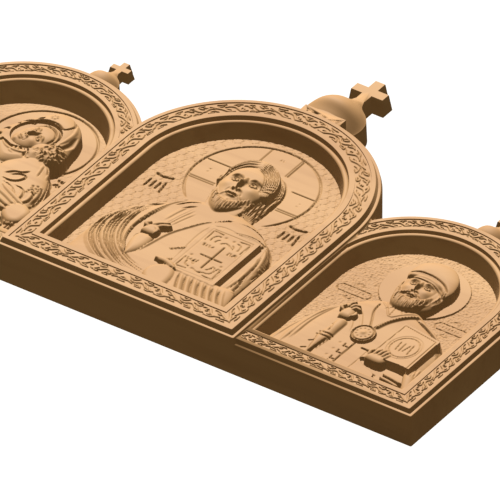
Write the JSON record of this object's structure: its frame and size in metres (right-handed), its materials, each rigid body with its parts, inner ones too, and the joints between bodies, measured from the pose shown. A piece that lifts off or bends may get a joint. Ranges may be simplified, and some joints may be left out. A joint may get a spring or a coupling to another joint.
{
  "type": "carved wooden triptych altarpiece",
  "caption": "Carved wooden triptych altarpiece: tall arched centre between lower arched wings, sunk niches with half-length figures, leafy borders, onion domes with crosses.",
  "frame": {"origin": "middle of the box that holds the part, on the flat back face it lies on", "axes": "+X across the three panels, +Y up the panels towards the crosses, +Z out of the carving, away from the flat back"},
  "size_m": [0.3582, 0.238, 0.0245],
  "materials": {
    "wood": "satin, fine carved"
  },
  "bodies": {
    "root": {"carved_triptych": "wood"}
  },
  "joints": []
}
